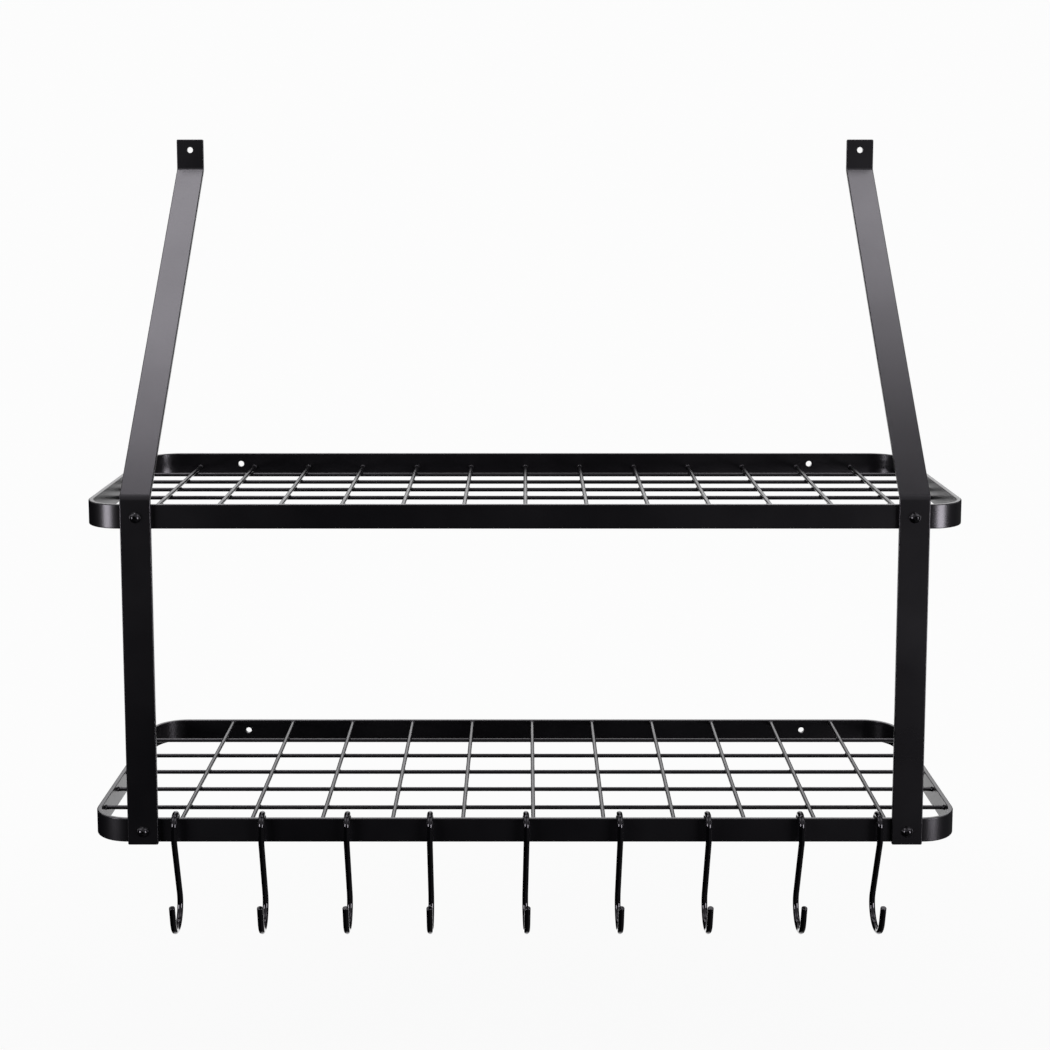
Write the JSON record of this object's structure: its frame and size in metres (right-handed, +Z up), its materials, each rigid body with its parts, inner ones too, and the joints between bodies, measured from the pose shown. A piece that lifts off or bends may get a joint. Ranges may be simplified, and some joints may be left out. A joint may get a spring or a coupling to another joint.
{
  "type": "wall mounted pot rack",
  "caption": "Wall mounted pot rack: two wire shelves in flat steel rims, two bent wall straps, and loose hooks that slide along the lower front bar.",
  "frame": {"origin": "on the wall plane, midway between the two top screw holes", "axes": "+X right as seen from the room, +Y into the wall, +Z up"},
  "size_m": [0.9144, 0.3882, 0.8367],
  "materials": {
    "rim_paint": "satin black",
    "strap_paint": "satin black",
    "wire_paint": "satin black",
    "screw_finish": "gloss black",
    "hook_finish": "gloss black"
  },
  "bodies": {
    "rack": {"upper_rim": "rim_paint", "lower_rim": "rim_paint", "left_strap": "strap_paint", "right_strap": "strap_paint", "strap_screws": "screw_finish", "upper_long_wire_1": "wire_paint", "upper_long_wire_2": "wire_paint", "upper_long_wire_3": "wire_paint", "upper_long_wire_4": "wire_paint", "upper_long_wire_5": "wire_paint", "upper_long_wire_6": "wire_paint", "upper_cross_wire_1": "wire_paint", "upper_cross_wire_2": "wire_paint", "upper_cross_wire_3": "wire_paint", "upper_cross_wire_4": "wire_paint", "upper_cross_wire_5": "wire_paint", "upper_cross_wire_6": "wire_paint", "upper_cross_wire_7": "wire_paint", "upper_cross_wire_8": "wire_paint", "upper_cross_wire_9": "wire_paint", "upper_cross_wire_10": "wire_paint", "upper_cross_wire_11": "wire_paint", "upper_cross_wire_12": "wire_paint", "upper_cross_wire_13": "wire_paint", "lower_long_wire_1": "wire_paint", "lower_long_wire_2": "wire_paint", "lower_long_wire_3": "wire_paint", "lower_long_wire_4": "wire_paint", "lower_long_wire_5": "wire_paint", "lower_cross_wire_1": "wire_paint", "lower_cross_wire_2": "wire_paint", "lower_cross_wire_3": "wire_paint", "lower_cross_wire_4": "wire_paint", "lower_cross_wire_5": "wire_paint", "lower_cross_wire_6": "wire_paint", "lower_cross_wire_7": "wire_paint", "lower_cross_wire_8": "wire_paint", "lower_cross_wire_9": "wire_paint", "lower_cross_wire_10": "wire_paint", "lower_cross_wire_11": "wire_paint"},
    "hook_1": {"pot_hook_1": "hook_finish"},
    "hook_2": {"pot_hook_2": "hook_finish"},
    "hook_3": {"pot_hook_3": "hook_finish"},
    "hook_4": {"pot_hook_4": "hook_finish"},
    "hook_5": {"pot_hook_5": "hook_finish"},
    "hook_6": {"pot_hook_6": "hook_finish"},
    "hook_7": {"pot_hook_7": "hook_finish"},
    "hook_8": {"pot_hook_8": "hook_finish"},
    "hook_9": {"pot_hook_9": "hook_finish"}
  },
  "joints": [
    {"name": "hook_1_slide", "type": "slide", "parent": "rack", "child": "hook_1", "axis": [1, 0, 0], "range_m": [-0.013, 0]},
    {"name": "hook_2_slide", "type": "slide", "parent": "rack", "child": "hook_2", "axis": [1, 0, 0], "range_m": [-0.0045, 0.0565]},
    {"name": "hook_3_slide", "type": "slide", "parent": "rack", "child": "hook_3", "axis": [1, 0, 0], "range_m": [-0.0205, 0.041]},
    {"name": "hook_4_slide", "type": "slide", "parent": "rack", "child": "hook_4", "axis": [1, 0, 0], "range_m": [-0.0335, 0.0285]},
    {"name": "hook_5_slide", "type": "slide", "parent": "rack", "child": "hook_5", "axis": [1, 0, 0], "range_m": [-0.0595, 0.0015]},
    {"name": "hook_6_slide", "type": "slide", "parent": "rack", "child": "hook_6", "axis": [1, 0, 0], "range_m": [-0.01, 0.0515]},
    {"name": "hook_7_slide", "type": "slide", "parent": "rack", "child": "hook_7", "axis": [1, 0, 0], "range_m": [-0.0285, 0.0325]},
    {"name": "hook_8_slide", "type": "slide", "parent": "rack", "child": "hook_8", "axis": [1, 0, 0], "range_m": [-0.052, 0.0095]},
    {"name": "hook_9_slide", "type": "slide", "parent": "rack", "child": "hook_9", "axis": [1, 0, 0], "range_m": [-0.0595, 0.0015]}
  ]
}
